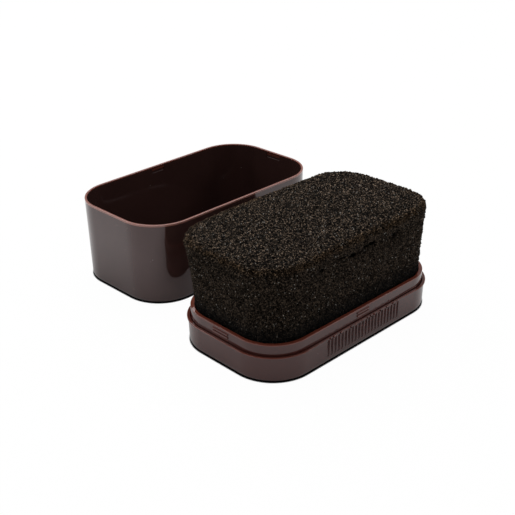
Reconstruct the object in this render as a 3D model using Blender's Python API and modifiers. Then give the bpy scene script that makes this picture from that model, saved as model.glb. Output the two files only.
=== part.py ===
"""Shoe shine sponge: an oiled foam block in a moulded tray, with a lift-off cap.

Metres, +Z up. The origin is the centre of the base's underside and X runs along the long sides.
The cap has been taken off: it stands upside down on its crown behind the base, open side up.
"""
from math import cos, pi, radians, sin

import bmesh
import bpy
from mathutils import Matrix, Vector

OBJECT_NAME = "shoe_shine_sponge"
CUTTERS_NAME = "cutters"

# Clearances
SEAT_GAP = 0.0003            # between a piece and what it rests on
TRAY_FIT = 0.0002            # round the tray, inside the base shell
FOAM_FIT = 0.0003            # round the foam's foot, inside the collar
PAD_FIT = 0.0003             # round the reservoir pad, inside the tray's skirt
CAP_CLEARANCE = 0.0001       # round the collar, inside the cap
CATCH_SLACK = 0.00015        # round a catch bead, in the cap's recess

# Base shell
BASE_LENGTH = 0.1000
BASE_WIDTH = 0.0574
BASE_CORNER = 0.0181
BASE_HEIGHT = 0.0108         # up to the ledge that the cap's rim lands on
BASE_WALL = 0.00115          # at the ledge, from the lip's face
BASE_FLOOR = 0.0018
BASE_LIP_REACH = 0.0003      # of the lip round the rim, past the wall
BASE_LIP_HEIGHT = 0.0008
BASE_DRAFT = 0.0003          # the foot is this much smaller all round
BASE_FOOT_ROUND = 0.0012
BASE_RIM_ROUND = 0.0001      # less than half the lip's reach, so its two edges stay apart

# Grip grooves in both long walls
GROOVE_COUNT = 22
GROOVE_PITCH = 0.00195
GROOVE_WIDTH = 0.0012
GROOVE_DEPTH = 0.00045       # below the wall, at the rim
GROOVE_ROUND = 0.0003        # of the groove's edges deep in the wall
GROOVE_END_ROUND = 0.00025   # of its run-out, less than that so the two rounds fit
GROOVE_START = 0.0028        # height of the grooves' lower ends

# Sponge tray: a skirt and a collar in one wall, with a deck across it
TRAY_WALL = 0.0016
COLLAR_RISE = 0.0045         # above the base shell's ledge
COLLAR_ROUND = 0.0003
DECK_CLEAR = 0.0043          # room for the reservoir pad, under the deck
DECK_THICKNESS = 0.0015
FEED_HOLE_DIAMETER = 0.0030
FEED_COLUMNS = 6
FEED_ROWS = 3
FEED_PITCH_X = 0.0125
FEED_PITCH_Y = 0.0115

# Catch beads on the collar, and their recesses in the cap
CATCH_BITE = 0.00025         # how far a bead reaches into the cap's wall
CATCH_HEIGHT = 0.0013
CATCH_ABOVE_LEDGE = 0.0025   # to the bead's middle
CATCH_LONG_SIDE = 0.0069
CATCH_SHORT_SIDE = 0.0082
CATCH_ROUND = 0.0004
CATCH_ROOT = 0.0006          # how deep the bead's block starts inside the collar's wall

# Cap
CAP_HEIGHT = 0.0361
CAP_WALL = 0.0010
CAP_CROWN_ROUND = 0.0014
CAP_DRAFT = 0.0007           # the crown end is this much smaller all round
CAP_RIM_ROUND = 0.0002
CAP_STAND_X = 0.0071
CAP_STAND_Y = 0.0753
CAP_TURN = radians(1.07)     # as it was put down, nearly in line with the base

# Foam block
FOAM_THICKNESS = 0.0371      # from its glued face to its top
FOAM_FLARE_ENDS = 0.0022     # the top stands out this much past the foot, at each end
FOAM_FLARE_SIDES = 0.00185   # and on each long side
FOAM_FLARE_POWER = 1.4       # above 1, the side leaves the collar nearly upright and opens higher up
FOAM_TOP_CORNER = 0.0166
FOAM_EDGE_ROUND = 0.0018
FOAM_CROWN = 0.0004          # rise of the top from its edge to its middle
FOAM_CREASE_DEPTH = 0.0008   # on the long sides, where the lid has pinched the foam
FOAM_CREASE_END_SHARE = 0.35 # how deep it is at the ends, of that depth
FOAM_CREASE_HEIGHT = 0.0050  # width of the drawn-in band, up the side
FOAM_CREASE_BELOW_TOP = 0.0058

# Glue ring and reservoir pad
GLUE_THICKNESS = 0.0004
GLUE_WIDTH = 0.0035
GLUE_SET_BACK = 0.0012       # from the foam's outline
PAD_SQUEEZE_GAP = 0.0003     # under the deck

# Mesh fineness
CORNER_SEGMENTS = 12
ROUND_SEGMENTS = 4
RIM_SEGMENTS = 2
GROOVE_SEGMENTS = 2
HOLE_SIDES = 16
FOAM_RINGS = 14
FOAM_EDGE_STEPS = 4
FOAM_TOP_RINGS = 3
CORNER_LIMIT = 0.98          # of the half width, the largest corner a narrow ring may have
CUT_PAST = 0.0010            # a cutter runs this far past the face it opens

# Sizes worked out from the ones above
BASE_HALF = Vector((BASE_LENGTH / 2, BASE_WIDTH / 2))
TRAY_SET_BACK = BASE_WALL + TRAY_FIT
TRAY_HALF = Vector((BASE_HALF.x - TRAY_SET_BACK, BASE_HALF.y - TRAY_SET_BACK))
TRAY_CORNER = BASE_CORNER - TRAY_SET_BACK
TRAY_BOTTOM = BASE_FLOOR + SEAT_GAP
COLLAR_TOP = BASE_HEIGHT + COLLAR_RISE
DECK_BOTTOM = BASE_FLOOR + DECK_CLEAR
DECK_TOP = DECK_BOTTOM + DECK_THICKNESS
GLUE_BOTTOM = DECK_TOP + SEAT_GAP
FOAM_BOTTOM = GLUE_BOTTOM + GLUE_THICKNESS + SEAT_GAP
FOAM_TOP = FOAM_BOTTOM + FOAM_THICKNESS
FOAM_SET_BACK = TRAY_WALL + FOAM_FIT
FOAM_HALF = Vector((TRAY_HALF.x - FOAM_SET_BACK, TRAY_HALF.y - FOAM_SET_BACK))
FOAM_CORNER = TRAY_CORNER - FOAM_SET_BACK
CAP_OVER_TRAY = CAP_CLEARANCE + CAP_WALL
CAP_HALF = Vector((TRAY_HALF.x + CAP_OVER_TRAY, TRAY_HALF.y + CAP_OVER_TRAY))
CAP_CORNER = TRAY_CORNER + CAP_OVER_TRAY
CATCH_REACH = CAP_CLEARANCE + CATCH_BITE
CATCH_Z = BASE_HEIGHT + CATCH_ABOVE_LEDGE
CATCH_BELOW_CAP_RIM = CATCH_ABOVE_LEDGE - SEAT_GAP


def clear_scene():
    for old in list(bpy.data.objects):
        bpy.data.objects.remove(old, do_unlink=True)


def new_collection(name):
    collection = bpy.data.collections.new(name)
    bpy.context.scene.collection.children.link(collection)
    return collection


def new_material(name, colour, roughness, metallic=0.0):
    material = bpy.data.materials.new(name)
    material.use_nodes = True
    shader = material.node_tree.nodes["Principled BSDF"]
    shader.inputs["Base Color"].default_value = (*colour, 1.0)
    shader.inputs["Roughness"].default_value = roughness
    shader.inputs["Metallic"].default_value = metallic
    return material


def new_object(name, shape, collection):
    """An object from a bmesh, which is used up."""
    mesh = bpy.data.meshes.new(name)
    bmesh.ops.recalc_face_normals(shape, faces=shape.faces[:])
    shape.to_mesh(mesh)
    shape.free()
    made = bpy.data.objects.new(name, mesh)
    collection.objects.link(made)
    return made


def smooth(made, angle=radians(30)):
    made.data.shade_smooth()
    made.data.set_sharp_from_angle(angle=angle)


def hide_cutter(cutter):
    cutter.hide_render = True
    cutter.display_type = 'WIRE'


def cut(made, cutter, operation='DIFFERENCE'):
    boolean = made.modifiers.new(cutter.name, 'BOOLEAN')
    boolean.operation = operation
    boolean.solver = 'EXACT'
    boolean.object = cutter
    hide_cutter(cutter)


def is_upright(edge):
    run = edge.verts[1].co - edge.verts[0].co
    return abs(run.z) > max(abs(run.x), abs(run.y))


def edges_at_height(shape, height, tolerance=1e-6):
    return [edge for edge in shape.edges if all(abs(v.co.z - height) < tolerance for v in edge.verts)]


def bevel(shape, edges, width, segments):
    bmesh.ops.bevel(shape, geom=edges, offset=width, offset_type='OFFSET', segments=segments,
                    profile=0.5, affect='EDGES', clamp_overlap=True)


def rounded_block(half, corner, low, high, low_inset=0.0, foot_round=0.0, segments=CORNER_SEGMENTS):
    """A block with round upright corners. Its low end may be smaller, and its foot rounded."""
    shape = bmesh.new()
    bmesh.ops.create_cube(shape, size=2.0)
    for vert in shape.verts:
        inset = low_inset if vert.co.z < 0 else 0.0
        vert.co.x *= half.x - inset
        vert.co.y *= half.y - inset
        vert.co.z = low if vert.co.z < 0 else high
    bevel(shape, [edge for edge in shape.edges if is_upright(edge)], corner, segments)
    if foot_round > 0.0:
        bevel(shape, edges_at_height(shape, low), foot_round, min(segments, ROUND_SEGMENTS))
    return shape


def open_top(shape, height):
    """Take off the face at this height, which leaves a cup of one skin."""
    lids = [face for face in shape.faces if all(abs(v.co.z - height) < 1e-6 for v in face.verts)]
    bmesh.ops.delete(shape, geom=lids, context='FACES_ONLY')


def add_wall(made, thickness):
    solidify = made.modifiers.new("wall", 'SOLIDIFY')
    solidify.thickness = thickness
    solidify.offset = -1.0
    solidify.use_even_offset = True
    solidify.use_rim = True


def round_sharp_edges(made, width, segments, angle=radians(50)):
    rounding = made.modifiers.new("rounds", 'BEVEL')
    rounding.width = width
    rounding.segments = segments
    rounding.limit_method = 'ANGLE'
    rounding.angle_limit = angle


def joined_blocks(parts):
    """One bmesh that holds several, each of them used up."""
    whole = bmesh.new()
    for part in parts:
        mesh = bpy.data.meshes.new("joined")
        part.to_mesh(mesh)
        part.free()
        whole.from_mesh(mesh)
        bpy.data.meshes.remove(mesh)
    return whole


def groove_cutter(x, y, low, high):
    """A flat bar with round edges. Its round foot makes the groove's run-out."""
    shape = rounded_block(Vector((GROOVE_WIDTH / 2, GROOVE_DEPTH)), GROOVE_ROUND, low, high,
                          foot_round=GROOVE_END_ROUND, segments=GROOVE_SEGMENTS)
    bmesh.ops.translate(shape, verts=shape.verts[:], vec=(x, y, 0.0))
    return shape


def make_base_shell(parts, cutters, plastic):
    wall_half = Vector((BASE_HALF.x - BASE_LIP_REACH, BASE_HALF.y - BASE_LIP_REACH))
    lip_bottom = BASE_HEIGHT - BASE_LIP_HEIGHT
    shell = new_object("base_shell", rounded_block(
        wall_half, BASE_CORNER - BASE_LIP_REACH, 0.0, lip_bottom + BASE_LIP_HEIGHT / 2,
        low_inset=BASE_DRAFT, foot_round=BASE_FOOT_ROUND), parts)
    lip = new_object("base_lip", rounded_block(BASE_HALF, BASE_CORNER, lip_bottom, BASE_HEIGHT), cutters)
    cut(shell, lip, operation='UNION')
    hollow_half = Vector((BASE_HALF.x - BASE_WALL, BASE_HALF.y - BASE_WALL))
    hollow = new_object("base_hollow", rounded_block(
        hollow_half, BASE_CORNER - BASE_WALL, BASE_FLOOR, BASE_HEIGHT + CUT_PAST), cutters)
    cut(shell, hollow)
    round_sharp_edges(shell, BASE_RIM_ROUND, RIM_SEGMENTS)
    bars = []
    for number in range(GROOVE_COUNT):
        x = (number - (GROOVE_COUNT - 1) / 2) * GROOVE_PITCH
        for side in (-1, 1):
            bars.append(groove_cutter(x, side * wall_half.y, GROOVE_START, BASE_HEIGHT + CUT_PAST))
    cut(shell, new_object("grip_grooves", joined_blocks(bars), cutters))
    shell.data.materials.append(plastic)
    return shell


def catch_block(length, height, reach, root, rounding):
    """A bead along X, with its root at -Y and its face at +Y. The face's edges are rounded."""
    shape = bmesh.new()
    bmesh.ops.create_cube(shape, size=2.0)
    for vert in shape.verts:
        vert.co.x *= length / 2
        vert.co.z *= height / 2
        vert.co.y = reach if vert.co.y > 0 else -root
    face_edges = [edge for edge in shape.edges if all(v.co.y > 0 for v in edge.verts)]
    if rounding > 0.0:
        bevel(shape, face_edges, rounding, RIM_SEGMENTS)
    return shape


def four_catches(half, height_z, grow, rounding, root):
    """A bead in the middle of each wall, standing out of the outline by the catches' reach and grow."""
    blocks = []
    for quarter in range(4):
        on_long_side = quarter % 2 == 0
        length = CATCH_LONG_SIDE if on_long_side else CATCH_SHORT_SIDE
        distance = half.y if on_long_side else half.x
        block = catch_block(length + 2 * grow, CATCH_HEIGHT + 2 * grow, CATCH_REACH + grow, root, rounding)
        bmesh.ops.translate(block, verts=block.verts[:], vec=(0.0, distance, height_z))
        bmesh.ops.rotate(block, verts=block.verts[:], cent=(0.0, 0.0, 0.0),
                         matrix=Matrix.Rotation(quarter * pi / 2, 3, 'Z'))
        blocks.append(block)
    return joined_blocks(blocks)


def make_sponge_tray(parts, cutters, plastic):
    tray = new_object("sponge_tray", rounded_block(TRAY_HALF, TRAY_CORNER, TRAY_BOTTOM, COLLAR_TOP), parts)
    inner_half = Vector((TRAY_HALF.x - TRAY_WALL, TRAY_HALF.y - TRAY_WALL))
    inner_corner = TRAY_CORNER - TRAY_WALL
    well = new_object("foam_well", rounded_block(
        inner_half, inner_corner, DECK_TOP, COLLAR_TOP + CUT_PAST), cutters)
    cut(tray, well)
    bay = new_object("pad_bay", rounded_block(
        inner_half, inner_corner, TRAY_BOTTOM - CUT_PAST, DECK_BOTTOM), cutters)
    cut(tray, bay)
    round_sharp_edges(tray, COLLAR_ROUND, RIM_SEGMENTS)
    holes = []
    for column in range(FEED_COLUMNS):
        for row in range(FEED_ROWS):
            x = (column - (FEED_COLUMNS - 1) / 2) * FEED_PITCH_X
            y = (row - (FEED_ROWS - 1) / 2) * FEED_PITCH_Y
            hole = bmesh.new()
            bmesh.ops.create_cone(hole, cap_ends=True, segments=HOLE_SIDES,
                                  radius1=FEED_HOLE_DIAMETER / 2, radius2=FEED_HOLE_DIAMETER / 2,
                                  depth=DECK_THICKNESS + 2 * CUT_PAST)
            bmesh.ops.translate(hole, verts=hole.verts[:], vec=(x, y, (DECK_BOTTOM + DECK_TOP) / 2))
            holes.append(hole)
    cut(tray, new_object("feed_holes", joined_blocks(holes), cutters))
    beads = four_catches(TRAY_HALF, CATCH_Z, 0.0, CATCH_ROUND, CATCH_ROOT)
    cut(tray, new_object("catch_beads", beads, cutters), operation='UNION')
    tray.data.materials.append(plastic)
    return tray


def make_cap(parts, cutters, plastic):
    """The cap in its own frame, crown down at the origin. Its empty carries it to where it stands."""
    stand = bpy.data.objects.new("cap_stand", None)
    parts.objects.link(stand)
    stand.location = (CAP_STAND_X, CAP_STAND_Y, 0.0)
    stand.rotation_euler = (0.0, 0.0, CAP_TURN)
    shape = rounded_block(CAP_HALF, CAP_CORNER, 0.0, CAP_HEIGHT, low_inset=CAP_DRAFT,
                          foot_round=CAP_CROWN_ROUND)
    open_top(shape, CAP_HEIGHT)
    cap = new_object("cap", shape, parts)
    cap.parent = stand
    add_wall(cap, CAP_WALL)
    round_sharp_edges(cap, CAP_RIM_ROUND, RIM_SEGMENTS)
    recess_z = CAP_HEIGHT - CATCH_BELOW_CAP_RIM
    recesses = new_object("catch_recesses", four_catches(
        TRAY_HALF, recess_z, CATCH_SLACK, CATCH_ROUND, CATCH_ROOT), cutters)
    recesses.parent = stand
    cut(cap, recesses)
    cap.data.materials.append(plastic)
    return cap


def outline(half, corner):
    """Points round a rectangle with round corners, each with its outward direction.

    They run anticlockwise from the +X side.
    """
    points = []
    for quarter in range(4):
        sign_x = 1 if quarter in (0, 3) else -1
        sign_y = 1 if quarter in (0, 1) else -1
        centre = Vector((sign_x * (half.x - corner), sign_y * (half.y - corner)))
        for step in range(CORNER_SEGMENTS + 1):
            turn = quarter * pi / 2 + step / CORNER_SEGMENTS * pi / 2
            outward = Vector((cos(turn), sin(turn)))
            points.append((centre + outward * corner, outward))
    return points


def foam_opening(height):
    """How far the side has flared at this height, from 0 at the collar to 1 below the top edge."""
    side_top = FOAM_TOP - FOAM_CROWN - FOAM_EDGE_ROUND
    return min(1.0, max(0.0, height - COLLAR_TOP) / (side_top - COLLAR_TOP)) ** FOAM_FLARE_POWER


def crease_depth(height, facing_long_side):
    """How far the foam is drawn in here. The second value is 1 on the long sides, 0 at the ends."""
    off_middle = (height - (FOAM_TOP - FOAM_CREASE_BELOW_TOP)) / (FOAM_CREASE_HEIGHT / 2)
    if abs(off_middle) >= 1.0:
        return 0.0
    share = FOAM_CREASE_END_SHARE + (1.0 - FOAM_CREASE_END_SHARE) * facing_long_side
    return FOAM_CREASE_DEPTH * share * cos(off_middle * pi / 2) ** 2


def foam_sections():
    """Height, flare opening and set-back from the flared side, from the glued face to the top."""
    sections = [(FOAM_BOTTOM, 0.0, 0.0)]
    side_top = FOAM_TOP - FOAM_CROWN - FOAM_EDGE_ROUND
    for ring in range(FOAM_RINGS):
        height = COLLAR_TOP + (side_top - COLLAR_TOP) * ring / (FOAM_RINGS - 1)
        sections.append((height, foam_opening(height), 0.0))
    for step in range(1, FOAM_EDGE_STEPS + 1):
        turn = step / FOAM_EDGE_STEPS * pi / 2
        sections.append((side_top + FOAM_EDGE_ROUND * sin(turn), 1.0, FOAM_EDGE_ROUND * (1.0 - cos(turn))))
    flat = FOAM_HALF.y + FOAM_FLARE_SIDES - FOAM_EDGE_ROUND
    for step in range(1, FOAM_TOP_RINGS + 1):
        share = step / (FOAM_TOP_RINGS + 1)
        sections.append((FOAM_TOP - FOAM_CROWN + FOAM_CROWN * sin(share * pi / 2), 1.0,
                         FOAM_EDGE_ROUND + flat * share))
    return sections


def make_foam_sponge(parts, foam):
    shape = bmesh.new()
    loops = []
    for height, opening, set_back in foam_sections():
        half = Vector((FOAM_HALF.x + FOAM_FLARE_ENDS * opening - set_back,
                       FOAM_HALF.y + FOAM_FLARE_SIDES * opening - set_back))
        corner = FOAM_CORNER + (FOAM_TOP_CORNER - FOAM_CORNER) * opening
        corner = min(corner, half.y * CORNER_LIMIT)
        ring = []
        for point, outward in outline(half, corner):
            point = point - outward * crease_depth(height, abs(outward.y))
            ring.append(shape.verts.new((point.x, point.y, height)))
        loops.append([shape.edges.new((ring[i - 1], ring[i])) for i in range(len(ring))])
    for low, high in zip(loops, loops[1:]):
        bmesh.ops.bridge_loops(shape, edges=low + high)
    bmesh.ops.contextual_create(shape, geom=loops[0])
    bmesh.ops.contextual_create(shape, geom=loops[-1])
    sponge = new_object("foam_sponge", shape, parts)
    smooth(sponge)
    sponge.data.materials.append(foam)
    return sponge


def make_glue_ring(parts, cutters, glue):
    outer_half = Vector((FOAM_HALF.x - GLUE_SET_BACK, FOAM_HALF.y - GLUE_SET_BACK))
    inner_half = Vector((outer_half.x - GLUE_WIDTH, outer_half.y - GLUE_WIDTH))
    outer_corner = FOAM_CORNER - GLUE_SET_BACK
    ring = new_object("glue_ring", rounded_block(
        outer_half, outer_corner, GLUE_BOTTOM, GLUE_BOTTOM + GLUE_THICKNESS), parts)
    hole = new_object("glue_ring_hole", rounded_block(
        inner_half, outer_corner - GLUE_WIDTH, GLUE_BOTTOM - CUT_PAST,
        GLUE_BOTTOM + GLUE_THICKNESS + CUT_PAST), cutters)
    cut(ring, hole)
    ring.data.materials.append(glue)
    return ring


def make_reservoir_pad(parts, felt):
    inset = TRAY_WALL + PAD_FIT
    half = Vector((TRAY_HALF.x - inset, TRAY_HALF.y - inset))
    pad = new_object("reservoir_pad", rounded_block(
        half, TRAY_CORNER - inset, BASE_FLOOR + SEAT_GAP, DECK_BOTTOM - PAD_SQUEEZE_GAP), parts)
    pad.data.materials.append(felt)
    return pad


def build():
    clear_scene()
    parts = new_collection(OBJECT_NAME)
    cutters = new_collection(CUTTERS_NAME)
    shell_plastic = new_material("base_plastic", (0.030, 0.019, 0.017), 0.16)
    tray_plastic = new_material("tray_plastic", (0.030, 0.019, 0.017), 0.16)
    cap_plastic = new_material("cap_plastic", (0.034, 0.021, 0.018), 0.14)
    foam = new_material("foam", (0.012, 0.011, 0.009), 0.9)
    glue = new_material("glue", (0.55, 0.50, 0.38), 0.5)
    felt = new_material("felt", (0.42, 0.40, 0.36), 0.95)
    rigid = [make_base_shell(parts, cutters, shell_plastic),
             make_sponge_tray(parts, cutters, tray_plastic),
             make_cap(parts, cutters, cap_plastic)]
    for piece in rigid:
        smooth(piece)
    make_foam_sponge(parts, foam)
    make_glue_ring(parts, cutters, glue)
    make_reservoir_pad(parts, felt)


build()
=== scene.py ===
"""Looks of the shoe shine sponge: glossy brown mouldings, an open-cell foam block and a white studio.

Metres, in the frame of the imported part. Sizes are written in millimetres and turned by MM.
"""
from collections import namedtuple
from math import cos, pi, radians, sin, tan

import bmesh
import bpy
from mathutils import Matrix, Vector, noise


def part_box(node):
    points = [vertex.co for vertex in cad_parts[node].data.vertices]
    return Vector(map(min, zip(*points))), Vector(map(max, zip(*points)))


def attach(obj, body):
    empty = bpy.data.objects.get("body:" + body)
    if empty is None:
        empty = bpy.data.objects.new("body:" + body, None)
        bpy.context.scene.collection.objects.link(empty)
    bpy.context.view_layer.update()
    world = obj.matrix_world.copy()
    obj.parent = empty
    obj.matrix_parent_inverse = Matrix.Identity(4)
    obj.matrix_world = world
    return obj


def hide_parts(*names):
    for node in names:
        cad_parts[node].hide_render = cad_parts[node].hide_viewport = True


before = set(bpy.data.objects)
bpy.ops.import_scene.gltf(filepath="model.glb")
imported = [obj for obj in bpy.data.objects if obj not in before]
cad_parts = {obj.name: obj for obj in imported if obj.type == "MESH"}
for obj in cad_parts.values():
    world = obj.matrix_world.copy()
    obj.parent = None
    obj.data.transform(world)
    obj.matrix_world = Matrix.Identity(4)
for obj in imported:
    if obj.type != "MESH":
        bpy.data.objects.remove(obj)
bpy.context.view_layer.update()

MM = 0.001

# Camera, as the photograph was taken
IMAGE_SIDE_PX = 515
FOCAL_PX = 922.0
SENSOR_MM = 36.0
CAMERA_HEADING = radians(44.2)      # of the line of sight, from +Y towards +X
CAMERA_ELEVATION = radians(26.74)
CAMERA_ROLL = radians(-0.524)
CAMERA_DISTANCE = 424.6 * MM
CAMERA_AIM = Vector((23.1 * MM, 53.84 * MM, -0.6 * MM))
NEAREST_SEEN = 10.0 * MM

# Base shell
_, shell_high = (Vector(corner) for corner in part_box("base_shell"))
LIP_EXTRA = 0.15 * MM               # the lip stands out this much further than in the CAD, as in the photo
BASE_HALF = Vector((shell_high.x + LIP_EXTRA, shell_high.y + LIP_EXTRA))
BASE_TOP = shell_high.z
BASE_CORNER = 18.1 * MM + LIP_EXTRA
BASE_WALL = 1.15 * MM + LIP_EXTRA
BASE_FLOOR = 1.8 * MM
BASE_DRAFT = 0.3 * MM
BASE_INSIDE_ROUND = 0.5 * MM
LIP_REACH = 0.3 * MM + LIP_EXTRA
LIP_HEIGHT = 0.8 * MM
LIP_BOTTOM = BASE_TOP - LIP_HEIGHT
LIP_ROUND = 0.25 * MM               # of its upper edge
LIP_UNDER_ROUND = 0.25 * MM         # of its lower edge
FOOT_ROUND = 1.6 * MM
RIM_BREAK = 0.25 * MM               # round of the rim's inner edge, which opens the seam round the tray

# Grip grooves
GROOVE_COUNT = 22
GROOVE_PITCH = 1.95 * MM
GROOVE_WIDTH = 1.2 * MM
GROOVE_DEPTH = 0.55 * MM            # into the wall, while the lip is only cut back flush with it
GROOVE_START = 2.8 * MM
GROOVE_SQUARENESS = 6               # 2 gives a round section, more a flat-bottomed slot

# Sponge tray
tray_low, tray_high = (Vector(corner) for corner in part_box("sponge_tray"))
TRAY_FIT = 0.2 * MM
TRAY_SET_BACK = BASE_WALL + TRAY_FIT
TRAY_HALF = Vector((BASE_HALF.x - TRAY_SET_BACK, BASE_HALF.y - TRAY_SET_BACK))
TRAY_CORNER = BASE_CORNER - TRAY_SET_BACK
TRAY_BOTTOM = tray_low.z
TRAY_WALL = 1.6 * MM
TRAY_FOOT_ROUND = 0.2 * MM
COLLAR_TOP = tray_high.z
COLLAR_ROUND = 0.2 * MM
DECK_BOTTOM = 6.1 * MM
DECK_TOP = 7.6 * MM
DECK_ROUND = 0.4 * MM               # where the deck's top meets the wall
DECK_UNDER_ROUND = 0.3 * MM
FEED_HOLE_DIAMETER = 3.0 * MM
FEED_HOLE_SIDES = 32
FEED_DRILL_LENGTH = 4.0 * MM
FEED_COLUMNS = 6
FEED_ROWS = 3
FEED_PITCH_X = 12.5 * MM
FEED_PITCH_Y = 11.5 * MM

# Catches
BEAD_EXTRA = 0.1 * MM               # a bead stands out this much further than in the CAD, as in the photo
CATCH_REACH = tray_high.x - TRAY_HALF.x + BEAD_EXTRA
CATCH_HEIGHT = 2.0 * MM
CATCH_ABOVE_LEDGE = 2.5 * MM
CATCH_LONG_SIDE = 6.9 * MM
CATCH_SHORT_SIDE = 8.2 * MM
CATCH_CHAMFER = 0.06 * MM
CATCH_NOTCH = 0.22 * MM             # half the width of the channel that parts a bead into two ribs
CATCH_LEAD_IN = 0.42 * MM           # how far down a rib its slope ends, which leads the cap in
CATCH_SLACK = 0.15 * MM             # how much further a recess reaches on every side than its bead

# Cap
cap_low, cap_high = (Vector(corner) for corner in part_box("cap"))
CAP_CENTRE = (cap_low + cap_high) / 2
CAP_TURN = radians(1.07)
CAP_HEIGHT = cap_high.z
CAP_WALL = 1.0 * MM
CAP_CLEARANCE = 0.1 * MM
CAP_HALF = TRAY_HALF + Vector((1, 1)) * (CAP_CLEARANCE + CAP_WALL)
CAP_CORNER = TRAY_CORNER + CAP_CLEARANCE + CAP_WALL
CAP_DRAFT = 0.7 * MM
CAP_CROWN_ROUND = 1.7 * MM
CAP_RIM_ROUND = 0.22 * MM
CAP_INSIDE_ROUND = 0.8 * MM
CAP_SPLIT = 25.0 * MM               # from a long wall's middle, where its faces are parted once more
RECESS_BELOW_RIM = 1.95 * MM

# Painted glow, for light that comes through the plastic, from 0 in a thick wall to 1 at the thinnest edge
RIM_GLOW = 1.0
EDGE_GLOW = 0.5                     # up to here an edge gets redder, and past it paler
LEDGE_GLOW = 0.15
BEAD_GLOW = 0.12
RECESS_GLOW = 0.4
LIP_GLOW_FADE = 0.12 * MM           # the lip's glow fades to the ledge's over this width
LEDGE_GLOW_FADE = 0.05 * MM         # and the ledge's to nothing over this width, before the rim's break
CAP_RIM_GLOW = 0.7 * MM             # how far down its outside the cap's thin rim glows
CAP_GLOW_FADE = 0.15 * MM
CAP_INNER_GLOW = 0.45 * MM          # how far down its inside

# Finish of the plastic
FLOW_LENGTH = 14.0 * MM             # of the soft streaks that the melt leaves in the colour
SMEAR_LENGTH = 5.0 * MM
WAVE_LENGTH = 9.0 * MM
WAVE_DEPTH = 0.1 * MM
GRIT_SIZE = 0.5 * MM
GRIT_DEPTH = 0.01 * MM
DUST_SPACING = 5.0 * MM
DUST_SIZE = 0.25 * MM

# Foam block
foam_low, foam_high = (Vector(corner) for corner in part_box("foam_sponge"))
FOAM_BOTTOM = foam_low.z
FOAM_EXTRA = 0.15 * MM              # the block is this much taller than in the CAD, as in the photo
FOAM_TOP = foam_high.z + FOAM_EXTRA
FOAM_CLEARANCE = 0.3 * MM
FOAM_SET_BACK = TRAY_WALL + FOAM_CLEARANCE
FOAM_FOOT_HALF = Vector((TRAY_HALF.x - FOAM_SET_BACK, TRAY_HALF.y - FOAM_SET_BACK))
FOAM_FOOT_CORNER = TRAY_CORNER - FOAM_SET_BACK
FOAM_FLARE = Vector((2.2 * MM, 1.85 * MM))
FOAM_FLARE_POWER = 1.4              # 1 gives straight sides, more a flare that quickens towards the top
FOAM_TOP_CORNER = 16.6 * MM
FOAM_EDGE_ROUND = 2.2 * MM
FOAM_CROWN = 0.4 * MM
FOAM_CENTRE_CORNER = 1.0 * MM       # corner radius of the flat face in the middle of the top
FOAM_END_DROP = 0.6 * MM            # how much lower the -X end's top edge lies
FOAM_END_SWELL = 0.5 * MM           # how much further the -X end's top stands out
FOAM_LEAN = Vector((-0.5 * MM, 0.5 * MM))

# Fold in the foam's long sides
CREASE_DEPTH = 2.0 * MM
CREASE_BELOW_TOP = 6.4 * MM
CREASE_HALF_WIDTH = 1.3 * MM
CREASE_REACH = 27.0 * MM            # along each long side, from its middle
CREASE_SKIN = 2.0 * MM              # what lies further in than this from the foot's long sides isn't folded
CREASE_WANDER = 1.3 * MM            # up and down
CREASE_WANDER_LENGTH = 9.0 * MM
TEAR_LENGTH = 3.5 * MM
TEAR_HEIGHT = 1.6 * MM
TEAR_SHARE = 0.5                    # how torn the fold is on average
TEAR_CONTRAST = 2.4

# Painted glow, for light through the foam's upper edges
FOAM_GLOW_REACH = 3.5 * MM               # how far it comes through
FOAM_GLOW_GAIN = 1.3
FOAM_GLOW_MOST = 0.75
FOAM_GLOW_PATCH = 3.0 * MM
FOAM_GLOW_PATCH_SHARE = 0.85
FOAM_GLOW_PATCH_CONTRAST = 1.1

# Open cells
CELL_SIZE = 0.75 * MM
CELL_DEPTH = 0.8 * MM
CELL_RANDOMNESS = 0.85
CELL_BEND = 0.9 * MM                # how far the net of cells is pulled about
CELL_BEND_LENGTH = 2.5 * MM
RAGGED_DEPTH = 0.38 * MM
RAGGED_LENGTH = 1.1 * MM
UNEVENNESS = 0.9 * MM
UNEVENNESS_LENGTH = 13.0 * MM
FINE_CELL = 0.36 * MM               # of the net of struts, in the material
GRAIN_SIZE = 0.3 * MM
GRAIN_DEPTH = 0.15 * MM
DARK_FOOT = 10.0 * MM               # up the foam's side from the collar, over which painted shade darkens it

# Felt and glue
PAD_ROUND = 0.8 * MM
PAD_FLAT_INSET = 10.0 * MM
FELT_FIBRE = 0.4 * MM
FELT_DEPTH = 0.3 * MM
SOAKED_PATCH = 18.0 * MM
GLUE_CLOUD = 4.0 * MM
GLUE_DEPTH = 0.1 * MM

# Studio, with its lamps and its paper in metres
Softbox = namedtuple("Softbox", "name place aim side watts")
SOFTBOXES = (
    Softbox("overhead_softbox", (0.20, 0.45, 0.85), (0.02, 0.05, 0.0), 1.1, 10.0),
    Softbox("back_left_softbox", (-0.45, 0.66, 0.60), (0.0, 0.0, 0.0), 0.35, 0.8),
    Softbox("front_right_softbox", (0.66, -0.45, 0.60), (0.0, 0.0, 0.0), 0.35, 1.0))
ROOM_LIGHT = 0.36
WHITE = (1.0, 1.0, 1.0, 1.0)
PAPER_COLOUR = (0.9, 0.9, 0.9, 1.0)
PAPER_HALF = 3.0
CONTACT_REACH = 1.5 * MM            # nearer to a piece than this, the paper is painted near-black, a painted contact shadow
SHADE_REACH = 40 * MM               # the paper as the gloss mirrors it gets a painted shade this far round the pieces
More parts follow.
